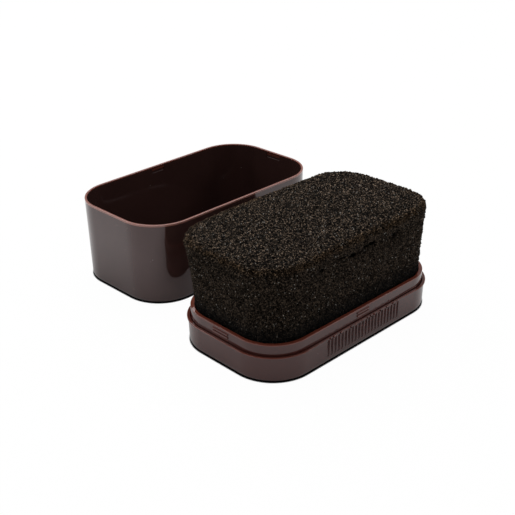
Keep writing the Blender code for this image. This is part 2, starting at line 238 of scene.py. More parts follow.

# Mesh fineness
CORNER_STEPS = 28
ROUND_STEPS = 6                     # of a round in a wall's section
GROOVE_STEPS = 10                   # across a groove
RUN_OUT_STEPS = 5                   # up a groove's rounded foot
FOAM_SIDE_STEPS = 30
FOAM_EDGE_STEPS = 8
FOAM_CROWN_STEPS = 6
FOAM_LONG_POINTS = [x * MM for x in range(-28, 29, 4)]      # along its long sides
FOAM_SHORT_POINTS = [y * MM for y in range(-8, 9, 4)]
FOAM_VOXEL = 0.31 * MM
FLAT_INSET = 13.0 * MM              # a floor is one flat face from here inwards
FLAT_RING = 1.0 * MM                # a ring this far below a lip or a ledge keeps the wall there flat
GUARD = 0.2 * MM                    # a ring this far from a round keeps the flat beside it flat
MERGE_DISTANCE = 0.002 * MM
SHARP_ANGLE = radians(38)
STRAIGHT = 0.999                    # a direction with more than this along an axis is a straight wall's
HAIR = 0.01 * MM                    # allows for rounding when two heights are compared

# A corner in a wall's section, and a ring of the swept wall, which is cut or raised where relief is true
Corner = namedtuple("Corner", "inset height radius relief glow", defaults=(0.0, False, 0.0))
Stop = namedtuple("Stop", "inset height relief glow")


def paint(hex_code):
    """Linear colour from an sRGB hex value."""
    channels = [int(hex_code[i:i + 2], 16) / 255 for i in (0, 2, 4)]
    linear = [c / 12.92 if c <= 0.04045 else ((c + 0.055) / 1.055) ** 2.4 for c in channels]
    return (*linear, 1.0)


def add_node(tree, kind, settings=None, inputs=None):
    """Adds a node. Its inputs are given plain values, or sockets to link from."""
    node = tree.nodes.new(kind)
    for name, value in (settings or {}).items():
        setattr(node, name, value)
    for name, value in (inputs or {}).items():
        if isinstance(value, bpy.types.NodeSocket):
            tree.links.new(value, node.inputs[name])
        else:
            node.inputs[name].default_value = value
    return node


def new_material(name):
    """A material, its node tree and its shader."""
    material = bpy.data.materials.new(name)
    material.use_nodes = True
    return material, material.node_tree, material.node_tree.nodes["Principled BSDF"]


def moulded_brown_styrene(name, dark, light, shine, tint):
    """Injection-moulded dark brown styrene, from a polished mould.

    It gives a deep, near-black brown under a mirror gloss, faint waves in the reflections, a painted
    glow on thin edges, red and then pinkish brown, for light that comes through them and for what
    their rims mirror, and a few pale flecks of dust.
    """
    material, tree, shader = new_material(name)
    place = add_node(tree, 'ShaderNodeTexCoord').outputs['Object']
    edge = add_node(tree, 'ShaderNodeAttribute', {'attribute_name': "painted_glow"}).outputs['Fac']
    flow = add_node(tree, 'ShaderNodeTexNoise', None, {
        'Vector': place, 'Scale': 1 / FLOW_LENGTH, 'Detail': 2.0})
    body = add_node(tree, 'ShaderNodeMix', {'data_type': 'RGBA'}, {
        'Factor': flow.outputs['Fac'], 'A': paint(dark), 'B': paint(light)})
    # Painted glow: thin edges are painted redder, and the thinnest paler pinkish brown, for light through
    # them and what their rims mirror
    thick_glow = add_node(tree, 'ShaderNodeMapRange', None, {'Value': edge, 'From Max': EDGE_GLOW})
    thin_glow = add_node(tree, 'ShaderNodeMapRange', None, {'Value': edge, 'From Min': EDGE_GLOW})
    painted_red_glow = add_node(tree, 'ShaderNodeMix', {'data_type': 'RGBA'}, {
        'Factor': thick_glow.outputs['Result'], 'A': body.outputs['Result'], 'B': paint("70392c")})
    glow = add_node(tree, 'ShaderNodeMix', {'data_type': 'RGBA'}, {
        'Factor': thin_glow.outputs['Result'], 'A': painted_red_glow.outputs['Result'], 'B': paint("94685e")})
    flecks = add_node(tree, 'ShaderNodeTexVoronoi', {'feature': 'F1'}, {
        'Vector': place, 'Scale': 1 / DUST_SPACING, 'Randomness': 1.0})
    on_fleck = add_node(tree, 'ShaderNodeMapRange', None, {
        'Value': flecks.outputs['Distance'], 'From Min': DUST_SIZE / DUST_SPACING,
        'From Max': DUST_SIZE / DUST_SPACING / 2, 'To Max': 0.5})
    dusted = add_node(tree, 'ShaderNodeMix', {'data_type': 'RGBA'}, {
        'Factor': on_fleck.outputs['Result'], 'A': glow.outputs['Result'], 'B': paint("a89c96")})
    smears = add_node(tree, 'ShaderNodeTexNoise', None, {
        'Vector': place, 'Scale': 1 / SMEAR_LENGTH, 'Detail': 5.0, 'Roughness': 0.65})
    gloss = add_node(tree, 'ShaderNodeMapRange', None, {
        'Value': smears.outputs['Fac'], 'From Min': 0.35, 'From Max': 0.7, 'To Min': 0.035, 'To Max': 0.07})
    waves = add_node(tree, 'ShaderNodeTexNoise', None, {
        'Vector': place, 'Scale': 1 / WAVE_LENGTH, 'Detail': 1.0})
    grit = add_node(tree, 'ShaderNodeTexNoise', None, {
        'Vector': place, 'Scale': 1 / GRIT_SIZE, 'Detail': 2.0})
    wavy = add_node(tree, 'ShaderNodeBump', None, {
        'Strength': 0.25, 'Distance': WAVE_DEPTH, 'Height': waves.outputs['Fac']})
    fine = add_node(tree, 'ShaderNodeBump', None, {
        'Strength': 0.12, 'Distance': GRIT_DEPTH, 'Height': grit.outputs['Fac'],
        'Normal': wavy.outputs['Normal']})
    shader.inputs['IOR'].default_value = 1.5
    shader.inputs['Specular IOR Level'].default_value = shine
    shader.inputs['Specular Tint'].default_value = paint(tint)
    tree.links.new(dusted.outputs['Result'], shader.inputs['Base Color'])
    tree.links.new(gloss.outputs['Result'], shader.inputs['Roughness'])
    tree.links.new(fine.outputs['Normal'], shader.inputs['Normal'])
    return material


def oiled_open_foam():
    """Reticulated polyurethane foam, brown-black and wet with oil.

    It gives a fine net of thin struts with small painted glints, cells painted black between them as
    painted shade, struts on the top brighter than on the sides as painted light from above, a painted
    gold-brown glow on the block's upper edges for light that comes through them, tears in the fold
    painted near-black as painted shade, and painted shade that darkens the sides towards the collar,
    with a bluish cast.
    """
    material, tree, shader = new_material("oiled_open_foam")
    place = add_node(tree, 'ShaderNodeTexCoord').outputs['Object']
    pit = add_node(tree, 'ShaderNodeAttribute', {'attribute_name': "pit"}).outputs['Fac']
    # Its painted glow on the upper edges, for light that comes through
    thin = add_node(tree, 'ShaderNodeAttribute', {'attribute_name': "painted_glow"}).outputs['Fac']
    tear = add_node(tree, 'ShaderNodeAttribute', {'attribute_name': "tear"}).outputs['Fac']
    up = add_node(tree, 'ShaderNodeAttribute', {'attribute_name': "facing_up"}).outputs['Fac']
    net = add_node(tree, 'ShaderNodeTexVoronoi', {'feature': 'F1'}, {
        'Vector': place, 'Scale': 1 / FINE_CELL, 'Randomness': 1.0})
    chance = add_node(tree, 'ShaderNodeSeparateColor', None, {'Color': net.outputs['Color']})
    # Painted shade: each fine cell is darker towards its middle, where its pit lies
    rim = add_node(tree, 'ShaderNodeMapRange', None, {
        'Value': net.outputs['Distance'], 'From Min': 0.12, 'From Max': 0.45, 'To Min': 0.35})
    # Painted light from above: struts on the top catch light more sparsely but brighter, and those on the
    # sides are painted darker
    sparseness = add_node(tree, 'ShaderNodeMapRange', None, {'Value': up, 'To Min': 2.0, 'To Max': 7.0})
    catches_light = add_node(tree, 'ShaderNodeMath', {'operation': 'POWER'}, {
        0: chance.outputs['Red'], 1: sparseness.outputs['Result']})
    painted_side_shade = add_node(tree, 'ShaderNodeMapRange', None, {'Value': up, 'To Min': 0.32})
    rim_lit = add_node(tree, 'ShaderNodeMath', {'operation': 'MULTIPLY'}, {
        0: catches_light.outputs['Value'], 1: rim.outputs['Result']})
    lit = add_node(tree, 'ShaderNodeMath', {'operation': 'MULTIPLY'}, {
        0: rim_lit.outputs['Value'], 1: painted_side_shade.outputs['Result']})
    oiled = add_node(tree, 'ShaderNodeMix', {'data_type': 'RGBA'}, {
        'Factor': lit.outputs['Value'], 'A': paint("0b0907"), 'B': paint("9b8673")})
    # Painted glints: a few cells get a pale grey highlight
    glints = add_node(tree, 'ShaderNodeMapRange', None, {
        'Value': chance.outputs['Green'], 'From Min': 0.985, 'From Max': 0.99})
    glinting = add_node(tree, 'ShaderNodeMix', {'data_type': 'RGBA'}, {
        'Factor': glints.outputs['Result'], 'A': oiled.outputs['Result'], 'B': paint("8f8b85")})
    # Painted glow: gold-brown struts where light comes through the block's upper edges
    glow_painted_struts = add_node(tree, 'ShaderNodeMix', {'data_type': 'RGBA'}, {
        'Factor': lit.outputs['Value'], 'A': paint("2a2016"), 'B': paint("84694c")})
    strut = add_node(tree, 'ShaderNodeMix', {'data_type': 'RGBA'}, {
        'Factor': thin, 'A': glinting.outputs['Result'], 'B': glow_painted_struts.outputs['Result']})
    # Painted shade in the pits, a little less black on the sides
    blackness = add_node(tree, 'ShaderNodeMapRange', None, {'Value': up, 'To Min': 0.88})
    painted_pit_shade = add_node(tree, 'ShaderNodeMapRange', None, {
        'Value': pit, 'From Min': 0.05, 'From Max': 0.55, 'To Max': blackness.outputs['Result']})
    cells = add_node(tree, 'ShaderNodeMix', {'data_type': 'RGBA'}, {
        'Factor': painted_pit_shade.outputs['Result'], 'A': strut.outputs['Result'], 'B': paint("050403")})
    # Painted shade: the sides darken, with a bluish cast, towards the collar
    height = add_node(tree, 'ShaderNodeSeparateXYZ', None, {'Vector': place})
    painted_foot_shade = add_node(tree, 'ShaderNodeMapRange', {'interpolation_type': 'SMOOTHSTEP'}, {
        'Value': height.outputs['Z'], 'From Min': COLLAR_TOP, 'From Max': COLLAR_TOP + DARK_FOOT,
        'To Min': 0.8, 'To Max': 0.0})
    soaked = add_node(tree, 'ShaderNodeMix', {'data_type': 'RGBA'}, {
        'Factor': painted_foot_shade.outputs['Result'], 'A': cells.outputs['Result'], 'B': paint("080a0c")})
    # Painted shade: the tears in the fold are painted near-black
    torn = add_node(tree, 'ShaderNodeMapRange', None, {'Value': tear, 'From Min': 0.12, 'From Max': 0.5})
    colour = add_node(tree, 'ShaderNodeMix', {'data_type': 'RGBA'}, {
        'Factor': torn.outputs['Result'], 'A': soaked.outputs['Result'], 'B': paint("030302")})
    grain = add_node(tree, 'ShaderNodeTexNoise', None, {
        'Vector': place, 'Scale': 1 / GRAIN_SIZE, 'Detail': 2.0})
    rough = add_node(tree, 'ShaderNodeBump', None, {
        'Strength': 0.8, 'Distance': GRAIN_DEPTH, 'Height': grain.outputs['Fac']})
    wet = add_node(tree, 'ShaderNodeMapRange', None, {'Value': pit, 'To Min': 0.5, 'To Max': 0.9})
    shader.inputs['Specular IOR Level'].default_value = 0.02
    tree.links.new(colour.outputs['Result'], shader.inputs['Base Color'])
    tree.links.new(wet.outputs['Result'], shader.inputs['Roughness'])
    tree.links.new(rough.outputs['Normal'], shader.inputs['Normal'])
    return material


def hot_melt_glue():
    """Hot-melt glue, milky and soft-edged, with a slight waxy shine."""
    material, tree, shader = new_material("hot_melt_glue")
    place = add_node(tree, 'ShaderNodeTexCoord').outputs['Object']
    cloud = add_node(tree, 'ShaderNodeTexNoise', None, {
        'Vector': place, 'Scale': 1 / GLUE_CLOUD, 'Detail': 2.0})
    colour = add_node(tree, 'ShaderNodeMix', {'data_type': 'RGBA'}, {
        'Factor': cloud.outputs['Fac'], 'A': paint("b9ac8e"), 'B': paint("d3c8ae")})
    lumps = add_node(tree, 'ShaderNodeBump', None, {
        'Strength': 0.4, 'Distance': GLUE_DEPTH, 'Height': cloud.outputs['Fac']})
    tree.links.new(colour.outputs['Result'], shader.inputs['Base Color'])
    tree.links.new(lumps.outputs['Normal'], shader.inputs['Normal'])
    shader.inputs['Roughness'].default_value = 0.4
    return material


def oiled_felt():
    """Pressed wool felt soaked with oil: matted short fibres, darkened in soft patches."""
    material, tree, shader = new_material("oiled_felt")
    place = add_node(tree, 'ShaderNodeTexCoord').outputs['Object']
    fibre = add_node(tree, 'ShaderNodeTexNoise', None, {
        'Vector': place, 'Scale': 1 / FELT_FIBRE, 'Detail': 6.0, 'Distortion': 2.5})
    soak = add_node(tree, 'ShaderNodeTexNoise', None, {
        'Vector': place, 'Scale': 1 / SOAKED_PATCH, 'Detail': 2.0})
    dry = add_node(tree, 'ShaderNodeMix', {'data_type': 'RGBA'}, {
        'Factor': fibre.outputs['Fac'], 'A': paint("8f887b"), 'B': paint("b9b2a4")})
    colour = add_node(tree, 'ShaderNodeMix', {'data_type': 'RGBA'}, {
        'Factor': soak.outputs['Fac'], 'A': dry.outputs['Result'], 'B': paint("5b5348")})
    matted = add_node(tree, 'ShaderNodeBump', None, {
        'Strength': 0.7, 'Distance': FELT_DEPTH, 'Height': fibre.outputs['Fac']})
    tree.links.new(colour.outputs['Result'], shader.inputs['Base Color'])
    tree.links.new(matted.outputs['Normal'], shader.inputs['Normal'])
    shader.inputs['Roughness'].default_value = 0.9
    return material


def white_paper():
    """Matt white paper, lit up until it is plain white in the picture and in the gloss.

    Close to a piece its colour is painted near-black, a painted contact shadow that draws the contact
    line. In the gloss a painted shade dims it further out as well, as the real paper is shaded.
    """
    material, tree, shader = new_material("white_paper")
    shader.inputs['Roughness'].default_value = 0.9
    shader.inputs['Specular IOR Level'].default_value = 0.1
    path = add_node(tree, 'ShaderNodeLightPath')
    # Painted shade: for glossy rays the white is dimmed round the pieces
    around = add_node(tree, 'ShaderNodeAmbientOcclusion', {'samples': 8}, {'Distance': SHADE_REACH})
    shaded = add_node(tree, 'ShaderNodeMapRange', None, {
        'Value': around.outputs['AO'], 'From Min': 0.5, 'To Min': 0.4})
    mirror_dim = add_node(tree, 'ShaderNodeMix', {'data_type': 'FLOAT'}, {
        'Factor': path.outputs['Is Glossy Ray'], 'A': 1.0, 'B': shaded.outputs['Result']})
    white = add_node(tree, 'ShaderNodeEmission', None, {
        'Color': WHITE, 'Strength': mirror_dim.outputs['Result']})
    # Painted contact shadow: close to a piece the paper's colour turns near-black, and the white is left out
    # there
    near = add_node(tree, 'ShaderNodeAmbientOcclusion', {'samples': 16}, {'Distance': CONTACT_REACH})
    clear = add_node(tree, 'ShaderNodeMapRange', None, {
        'Value': near.outputs['AO'], 'From Min': 0.6, 'From Max': 0.72, 'To Max': 0.98})
    paper = add_node(tree, 'ShaderNodeMix', {'data_type': 'RGBA'}, {
        'Factor': clear.outputs['Result'], 'A': paint("0c0d10"), 'B': PAPER_COLOUR})
    tree.links.new(paper.outputs['Result'], shader.inputs['Base Color'])
    deep_clear = add_node(tree, 'ShaderNodeMapRange', None, {
        'Value': near.outputs['AO'], 'From Min': 0.4, 'From Max': 0.53})
    direct = add_node(tree, 'ShaderNodeMath', {'operation': 'MULTIPLY'}, {
        0: path.outputs['Is Camera Ray'], 1: clear.outputs['Result']})
    mirrors = add_node(tree, 'ShaderNodeMath', {'operation': 'MAXIMUM'}, {
        0: path.outputs['Is Glossy Ray'], 1: path.outputs['Is Transmission Ray']})
    mirrored = add_node(tree, 'ShaderNodeMath', {'operation': 'MULTIPLY'}, {
        0: mirrors.outputs['Value'], 1: deep_clear.outputs['Result']})
    share = add_node(tree, 'ShaderNodeMath', {'operation': 'MAXIMUM'}, {
        0: direct.outputs['Value'], 1: mirrored.outputs['Value']})
    mix = add_node(tree, 'ShaderNodeMixShader', None, {
        0: share.outputs['Value'], 1: shader.outputs['BSDF'], 2: white.outputs['Emission']})
    tree.links.new(mix.outputs['Shader'], tree.nodes["Material Output"].inputs['Surface'])
    return material


def wall_path(half, corner, long_stops=(), short_stops=()):
    """Points and outward directions round a rectangle with round corners, anticlockwise from +X.

    The stops are places along the straight sides that get a point of their own.
    """
    path = []
    for quarter in range(4):
        sign_x = 1 if quarter in (0, 3) else -1
        sign_y = 1 if quarter in (0, 1) else -1
        centre = Vector((sign_x * (half.x - corner), sign_y * (half.y - corner)))
        for step in range(CORNER_STEPS + 1):
            turn = (quarter + step / CORNER_STEPS) * pi / 2
            outward = Vector((cos(turn), sin(turn)))
            path.append((centre + outward * corner, outward))
        outward = Vector((cos((quarter + 1) * pi / 2), sin((quarter + 1) * pi / 2)))
        along_x = quarter in (0, 2)
        going_down = quarter in (0, 1)
        for stop in sorted(long_stops if along_x else short_stops, reverse=going_down):
            point = Vector((stop, sign_y * half.y)) if along_x else Vector((sign_x * half.x, stop))
            path.append((point, outward))
    return path


def rounded_profile(corners, guard=GUARD):
    """Stops through the corners of a wall's section, with each radius as an arc."""
    stops = []
    for index, corner in enumerate(corners):
        if corner.radius == 0.0:
            stops.append(Stop(corner.inset, corner.height, corner.relief, corner.glow))
            continue
        before = corners[index - 1]
        after = corners[index + 1]
        here = Vector((corner.inset, corner.height))
        back = (Vector((before.inset, before.height)) - here).normalized()
        ahead = (Vector((after.inset, after.height)) - here).normalized()
        half_angle = back.angle(ahead) / 2
        reach = corner.radius / tan(half_angle)
        centre = here + (back + ahead).normalized() * corner.radius / sin(half_angle)
        start = here + back * reach - centre
        sweep = pi - 2 * half_angle
        turn_sign = 1.0 if back.x * ahead.y - back.y * ahead.x < 0 else -1.0
        if guard:
            stops.append(Stop(*(here + back * (reach + guard)), corner.relief, before.glow))
        for step in range(ROUND_STEPS + 1):
            turn = turn_sign * sweep * step / ROUND_STEPS
            point = centre + Vector((start.x * cos(turn) - start.y * sin(turn),
                                     start.x * sin(turn) + start.y * cos(turn)))
            stops.append(Stop(point.x, point.y, corner.relief, corner.glow))
        if guard:
            stops.append(Stop(*(here + ahead * (reach + guard)), corner.relief, after.glow))
    return stops


def skin_rings(shape, rings):
    """Joins each ring of points to the next with faces, and closes both ends with a flat face."""
    for low, high in zip(rings, rings[1:]):
        for i in range(len(low)):
            shape.faces.new((low[i - 1], low[i], high[i], high[i - 1]))
    shape.faces.new(rings[0])
    shape.faces.new(rings[-1])


def new_object(name, shape):
    """Makes a bmesh an object in the scene."""
    mesh = bpy.data.meshes.new(name)
    shape.to_mesh(mesh)
    shape.free()
    made = bpy.data.objects.new(name, mesh)
    bpy.context.scene.collection.objects.link(made)
    return made


def plain_inset(point, outward, stop):
    """A wall with nothing cut into it or raised on it."""
    return stop.inset


def plain_glow(point, outward, stop):
    """A wall that glows alike all the way round."""
    return stop.glow


def loft(name, path, stops, inset_at=plain_inset, glow_at=plain_glow):
    """Sweeps a wall's section round a path, and notes at each point how much painted glow it gets, for light
    that comes through.
    """
    shape = bmesh.new()
    glow_layer = shape.verts.layers.float.new("painted_glow")
    rings = []
    for stop in stops:
        ring = []
        for point, outward in path:
            place = point - outward * inset_at(point, outward, stop)
            vert = shape.verts.new((place.x, place.y, stop.height))
            vert[glow_layer] = glow_at(point, outward, stop)
            ring.append(vert)
        rings.append(ring)
    skin_rings(shape, rings)
    bmesh.ops.remove_doubles(shape, verts=shape.verts[:], dist=MERGE_DISTANCE)
    bmesh.ops.recalc_face_normals(shape, faces=shape.faces[:])
    made = new_object(name, shape)
    made.data.shade_smooth()
    made.data.set_sharp_from_angle(angle=SHARP_ANGLE)
    return made


def apply_modifiers(piece):
    """Turns what the modifiers make into the piece's own plain mesh."""
    graph = bpy.context.evaluated_depsgraph_get()
    graph.update()
    mesh = bpy.data.meshes.new_from_object(piece.evaluated_get(graph))
    piece.modifiers.clear()
    piece.data = mesh


def finish_piece(piece, material, body, slot, *nodes):
    """Gives a piece its material, puts it on the body it rides on, and hides the CAD nodes it stands in for.
    """
    piece.data.materials.clear()
    piece.data.materials.append(material)
    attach(piece, body)
    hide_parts(*nodes)


def groove_positions():
    """The middles of the grip grooves, along a long side."""
    return [(number - (GROOVE_COUNT - 1) / 2) * GROOVE_PITCH for number in range(GROOVE_COUNT)]


def grooved_inset(point, outward, stop):
    """The base's wall, set in where a grip groove is cut into it and on up through its lip."""
    if not stop.relief or abs(outward.y) < STRAIGHT:
        return stop.inset
    nearest = min(groove_positions(), key=lambda middle: abs(point.x - middle))
    across = (point.x - nearest) / (GROOVE_WIDTH / 2)
    down = min(0.0, stop.height - GROOVE_START - GROOVE_WIDTH / 2) / (GROOVE_WIDTH / 2)
    inside = 1.0 - across ** GROOVE_SQUARENESS - down ** GROOVE_SQUARENESS
    if inside <= 0.0:
        return stop.inset
    if stop.height > LIP_BOTTOM - HAIR:
        return max(stop.inset, LIP_REACH)
    return max(stop.inset, LIP_REACH + GROOVE_DEPTH * inside ** (1 / GROOVE_SQUARENESS))


def lip_glow(point, outward, stop):
    """The lip gets its painted glow, for light that comes through, along its upper edge only."""
    return stop.glow if stop.height > BASE_TOP - LIP_ROUND / 2 else 0.0


def base_inset(height):
    """The draft of the base's wall, below its lip."""
    return LIP_REACH + BASE_DRAFT * (1.0 - height / BASE_TOP)


def make_base(plastic):
    """The outer tray: foot, grooved wall, lip, and the ledge that the cap's rim lands on."""
    stops_along = []
    for middle in groove_positions():
        for step in range(GROOVE_STEPS + 1):
            stops_along.append(middle - cos(step / GROOVE_STEPS * pi) * GROOVE_WIDTH / 2)
    path = wall_path(BASE_HALF, BASE_CORNER, stops_along)
    corners = [Corner(FLAT_INSET, 0.0), Corner(base_inset(0.0), 0.0, FOOT_ROUND)]
    for step in range(RUN_OUT_STEPS + 1):
        height = GROOVE_START + GROOVE_WIDTH / 2 * (1 - cos(step / RUN_OUT_STEPS * pi / 2))
        corners.append(Corner(base_inset(height), height, relief=True))
    under_lip = LIP_BOTTOM - FLAT_RING
    corners += [
        Corner(base_inset(under_lip), under_lip, relief=True),
        Corner(base_inset(LIP_BOTTOM), LIP_BOTTOM, relief=True),
        Corner(0.0, LIP_BOTTOM, LIP_UNDER_ROUND, relief=True),
        Corner(0.0, BASE_TOP, LIP_ROUND, relief=True, glow=EDGE_GLOW),
        Corner(LIP_ROUND + LIP_GLOW_FADE, BASE_TOP, relief=True, glow=LEDGE_GLOW),
        Corner(BASE_WALL - RIM_BREAK - LEDGE_GLOW_FADE, BASE_TOP, relief=True, glow=LEDGE_GLOW),
        Corner(BASE_WALL, BASE_TOP, RIM_BREAK),
        Corner(BASE_WALL, BASE_FLOOR, BASE_INSIDE_ROUND),
        Corner(FLAT_INSET, BASE_FLOOR)]
    base = loft("moulded_base", path, rounded_profile(corners, guard=0.0), grooved_inset, lip_glow)
    finish_piece(base, plastic, "base", "brown_plastic", "base_shell")


def catch_shape(point, outward, height, middle, grow, reach):
    """How far a catch stands out of the wall at a point and a height.

    A bead is two ribs that slope out from their tops, to lead the cap in. A recess is flat, and
    is grown by its slack all round.
    """
    on_long_side = abs(outward.y) > STRAIGHT
    if not on_long_side and abs(outward.x) < STRAIGHT:
        return 0.0
    length = (CATCH_LONG_SIDE if on_long_side else CATCH_SHORT_SIDE) + 2 * grow
    along = abs(point.x if on_long_side else point.y)
    from_end = (length / 2 - along) / CATCH_CHAMFER
    if grow:
        from_side = (CATCH_HEIGHT / 2 + grow - abs(height - middle)) / CATCH_CHAMFER
    else:
        rib_top = middle + (CATCH_HEIGHT / 2 if height > middle else -CATCH_NOTCH)
        below = rib_top - height
        lead_in = (below - CATCH_CHAMFER) / (CATCH_LEAD_IN - CATCH_CHAMFER)
        from_top = min(1.0, below / CATCH_CHAMFER) / 2 + max(0.0, min(1.0, lead_in)) / 2
        from_foot = (CATCH_HEIGHT / 2 - CATCH_NOTCH - below) / CATCH_CHAMFER
        from_side = min(from_top, from_foot)
    return reach * max(0.0, min(1.0, from_end, from_side))


def catch_stops(length, grow):
    """Places along a wall where a catch starts and levels off, with a guard just outside each end."""
    end = length / 2 + grow
    return [sign * place for sign in (-1, 1) for place in (end + GUARD, end, end - CATCH_CHAMFER)]


def catch_heights(middle, grow):
    """Heights at which a catch starts, levels off, is parted and ends its slope."""
    notch = [sign * place for sign in (-1, 1) for place in (CATCH_NOTCH, CATCH_NOTCH + CATCH_CHAMFER)]
    lead_in = [] if grow else [CATCH_HEIGHT / 2 - CATCH_LEAD_IN, -CATCH_NOTCH - CATCH_LEAD_IN]
    return sorted(middle + shift for shift in catch_stops(CATCH_HEIGHT, grow) + notch + lead_in)


def cut_feed_holes(tray):
    """Drills the deck, so that the pad's oil can rise to the foam."""
    drills = bmesh.new()
    radius = FEED_HOLE_DIAMETER / 2
    for column in range(FEED_COLUMNS):
        for row in range(FEED_ROWS):
            x = (column - (FEED_COLUMNS - 1) / 2) * FEED_PITCH_X
            y = (row - (FEED_ROWS - 1) / 2) * FEED_PITCH_Y
            place = Matrix.Translation((x, y, (DECK_BOTTOM + DECK_TOP) / 2))
            bmesh.ops.create_cone(drills, cap_ends=True, segments=FEED_HOLE_SIDES, radius1=radius,
                                  radius2=radius, depth=FEED_DRILL_LENGTH, matrix=place)
    cutter = new_object("feed_drills", drills)
    boolean = tray.modifiers.new("feed_holes", 'BOOLEAN')
    boolean.object = cutter
    apply_modifiers(tray)
    bpy.data.objects.remove(cutter)


def make_tray(plastic):
    """The collar with its catch beads, and the drilled deck that carries the foam."""
    middle = BASE_TOP + CATCH_ABOVE_LEDGE
    path = wall_path(TRAY_HALF, TRAY_CORNER, catch_stops(CATCH_LONG_SIDE, 0.0),
                     catch_stops(CATCH_SHORT_SIDE, 0.0))
    corners = [
        Corner(FLAT_INSET, DECK_TOP),
        Corner(TRAY_WALL, DECK_TOP, DECK_ROUND),
        Corner(TRAY_WALL, COLLAR_TOP, COLLAR_ROUND, glow=EDGE_GLOW),
        Corner(0.0, COLLAR_TOP, COLLAR_ROUND, glow=EDGE_GLOW)]
    for height in reversed(catch_heights(middle, 0.0)):
        corners.append(Corner(0.0, height, relief=True))
    corners += [
        Corner(0.0, BASE_TOP - FLAT_RING),
        Corner(0.0, TRAY_BOTTOM, TRAY_FOOT_ROUND),
        Corner(TRAY_WALL, TRAY_BOTTOM, TRAY_FOOT_ROUND),
        Corner(TRAY_WALL, DECK_BOTTOM, DECK_UNDER_ROUND),
        Corner(FLAT_INSET, DECK_BOTTOM)]

    def bead(point, outward, stop):
        """The wall, standing out over a bead."""
        shape = catch_shape(point, outward, stop.height, middle, 0.0, CATCH_REACH)
        return stop.inset - stop.relief * shape

    def bead_glow(point, outward, stop):
        """A little painted glow over the whole bead and its channel, for light that comes through."""
        lies_beside = catch_shape(point, outward, middle + CATCH_HEIGHT / 4, middle, 0.0, 1.0) == 0.0
        return BEAD_GLOW if stop.relief and not lies_beside else stop.glow

    tray = loft("moulded_tray", path, rounded_profile(corners), bead, bead_glow)
    cut_feed_holes(tray)
    finish_piece(tray, plastic, "base", "brown_plastic", "sponge_tray")


def make_cap(plastic):
    """The lid, upside down on its crown and turned a little, with recesses under its rim."""
    middle = CAP_HEIGHT - RECESS_BELOW_RIM
    depth = (CATCH_REACH + CATCH_SLACK - CAP_CLEARANCE) / 2
    long_stops = catch_stops(CATCH_LONG_SIDE, CATCH_SLACK) + [-CAP_SPLIT, CAP_SPLIT]
    path = wall_path(CAP_HALF, CAP_CORNER, long_stops, catch_stops(CATCH_SHORT_SIDE, CATCH_SLACK))
    glow_bottom = CAP_HEIGHT - CAP_RIM_GLOW
    glow_inset = CAP_DRAFT * CAP_RIM_GLOW / CAP_HEIGHT
    corners = [
        Corner(FLAT_INSET, 0.0),
        Corner(CAP_DRAFT, 0.0, CAP_CROWN_ROUND),
        Corner(CAP_DRAFT / 2, CAP_HEIGHT / 2),
        Corner(glow_inset, glow_bottom - CAP_GLOW_FADE),
        Corner(glow_inset, glow_bottom, glow=RIM_GLOW),
        Corner(0.0, CAP_HEIGHT, CAP_RIM_ROUND, glow=RIM_GLOW),
        Corner(CAP_WALL, CAP_HEIGHT, CAP_RIM_ROUND, glow=EDGE_GLOW),
        Corner(CAP_WALL, CAP_HEIGHT - CAP_INNER_GLOW, glow=EDGE_GLOW)]
    for height in reversed(catch_heights(middle, CATCH_SLACK)):
        corners.append(Corner(CAP_WALL, height, relief=True))
    corners += [
        Corner(CAP_WALL + CAP_DRAFT / 2, CAP_HEIGHT / 2),
        Corner(CAP_WALL + CAP_DRAFT, CAP_WALL, CAP_INSIDE_ROUND),
        Corner(FLAT_INSET, CAP_WALL)]

    def recess(point, outward, stop):
        """The inner wall, set out where a recess takes a bead."""
        shape = catch_shape(point, outward, stop.height, middle, CATCH_SLACK, depth)
        return stop.inset - stop.relief * shape

    def recess_glow(point, outward, stop):
        """A painted glow on the thinner wall behind a recess's upper half, next to the rim, for light that
        comes through.
        """
        if stop.height < middle:
            return stop.glow
        shape = catch_shape(point, outward, stop.height, middle, CATCH_SLACK, 1.0)
        return max(stop.glow, RECESS_GLOW * stop.relief * shape)

    cap = loft("moulded_cap", path, rounded_profile(corners), recess, recess_glow)
    stand = Matrix.Translation((CAP_CENTRE.x, CAP_CENTRE.y, 0.0)) @ Matrix.Rotation(CAP_TURN, 4, 'Z')
    cap.data.transform(stand)
    finish_piece(cap, plastic, "cap", "brown_plastic", "cap")


def foam_stops():
    """The foam block's side and top: set-back from the flared side, height, and how far it has flared."""
    side_top = FOAM_TOP - FOAM_CROWN - FOAM_EDGE_ROUND
    stops = [(0.0, FOAM_BOTTOM, 0.0)]
    for step in range(FOAM_SIDE_STEPS + 1):
        rise = step / FOAM_SIDE_STEPS
        stops.append((0.0, COLLAR_TOP + (side_top - COLLAR_TOP) * rise, rise ** FOAM_FLARE_POWER))
    for step in range(1, FOAM_EDGE_STEPS + 1):
        turn = step / FOAM_EDGE_STEPS * pi / 2
        stops.append((FOAM_EDGE_ROUND * (1 - cos(turn)), side_top + FOAM_EDGE_ROUND * sin(turn), 1.0))
    reach = FOAM_TOP_CORNER - FOAM_EDGE_ROUND - FOAM_CENTRE_CORNER
    for step in range(1, FOAM_CROWN_STEPS + 1):
        share = step / FOAM_CROWN_STEPS
        height = FOAM_TOP - FOAM_CROWN + FOAM_CROWN * sin(share * pi / 2)
        stops.append((FOAM_EDGE_ROUND + reach * share, height, 1.0))
    return stops


